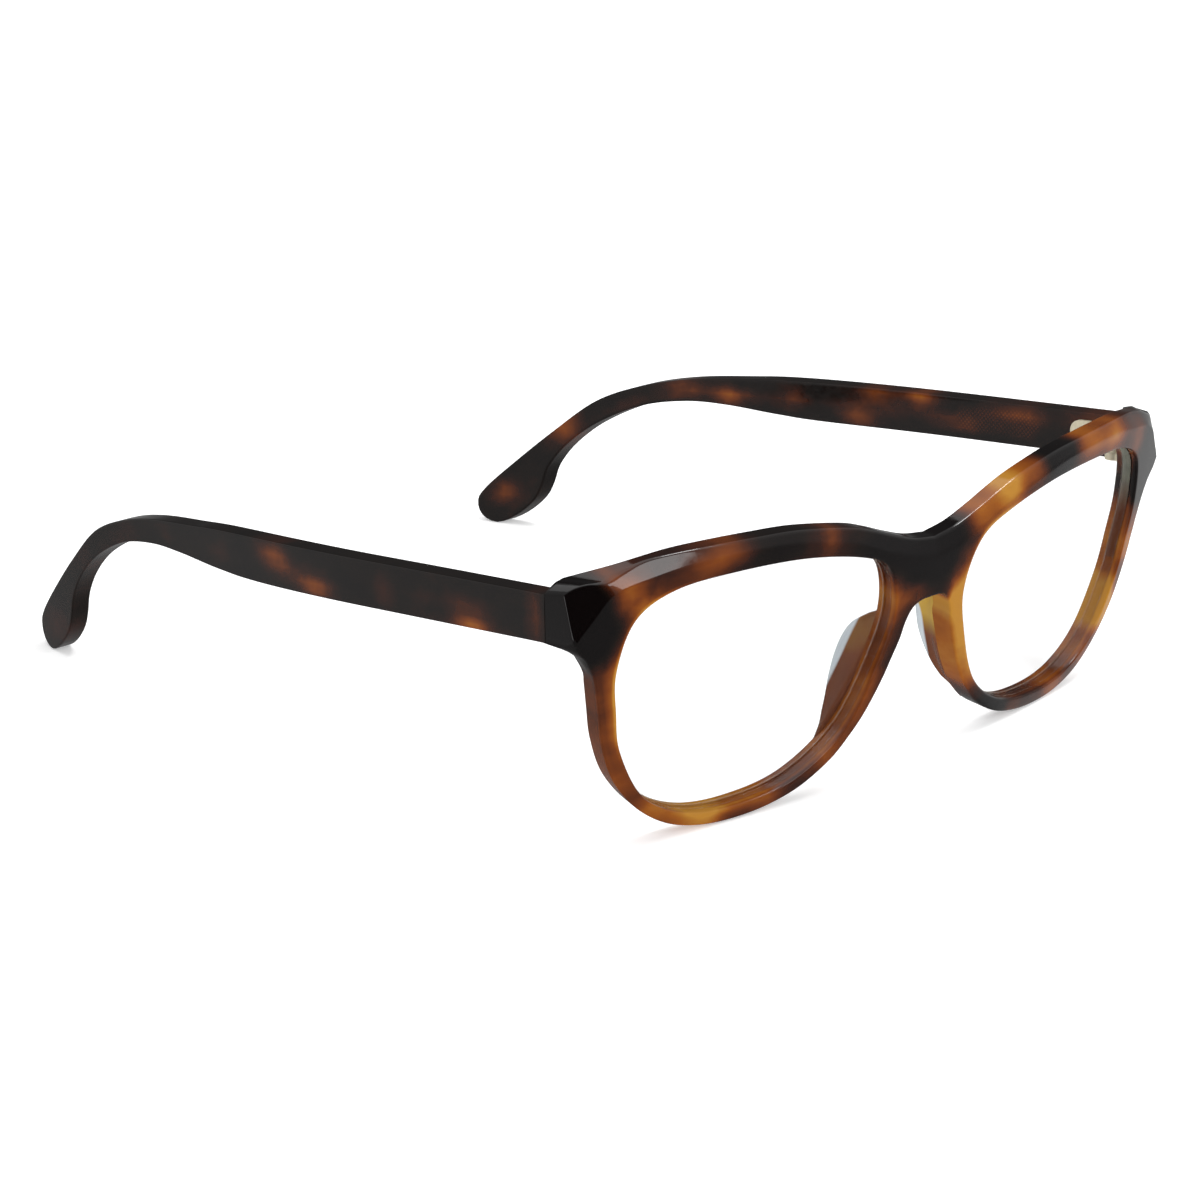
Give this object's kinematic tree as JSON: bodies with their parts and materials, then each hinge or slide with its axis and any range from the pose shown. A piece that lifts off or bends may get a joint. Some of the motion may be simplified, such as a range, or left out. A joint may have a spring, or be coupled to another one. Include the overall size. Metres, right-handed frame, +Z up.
{
  "type": "eyeglasses frame",
  "caption": "Acetate eyeglasses frame with faceted endpieces, clear lenses, glued nose pads and two folding temples on barrel hinges.",
  "frame": {"origin": "bottom centre of the whole frame's box, on the surface that the open frame stands on with its lower rims and temple tips", "axes": "+Z up, +Y from the front back along the open temples, X across the front with the wearer's right at -X; the hinge axes stand along Z"},
  "size_m": [0.1392, 0.1555, 0.0458],
  "materials": {
    "front_acetate": "polished mottled tortoiseshell acetate",
    "temple_acetate": "polished dark tortoiseshell acetate",
    "clear_lens": "clear polished plastic",
    "pad_acetate": "polished translucent acetate",
    "hinge_metal": "satin nickel silver",
    "screw_steel": "polished steel",
    "core_metal": "satin nickel silver, knurled at the front"
  },
  "bodies": {
    "front": {"front_frame": "front_acetate", "lens_right": "clear_lens", "lens_left": "clear_lens", "nose_pad_right": "pad_acetate", "nose_pad_left": "pad_acetate", "front_hinge_right": "hinge_metal", "front_hinge_left": "hinge_metal", "hinge_screw_right": "screw_steel", "hinge_screw_left": "screw_steel"},
    "right_temple": {"temple_right": "temple_acetate", "temple_hinge_right": "hinge_metal", "core_wire_right": "core_metal"},
    "left_temple": {"temple_left": "temple_acetate", "temple_hinge_left": "hinge_metal", "core_wire_left": "core_metal"}
  },
  "joints": [
    {"name": "left_temple_fold", "type": "hinge", "parent": "front", "child": "left_temple", "pos_m": [0.0627, -0.06231, 0.0375], "axis": [0, 0, 1], "range_deg": [0, 85.8]},
    {"name": "right_temple_fold", "type": "hinge", "parent": "front", "child": "right_temple", "pos_m": [-0.0627, -0.06231, 0.0375], "axis": [0, 0, -1], "range_deg": [0, 76.5]}
  ]
}
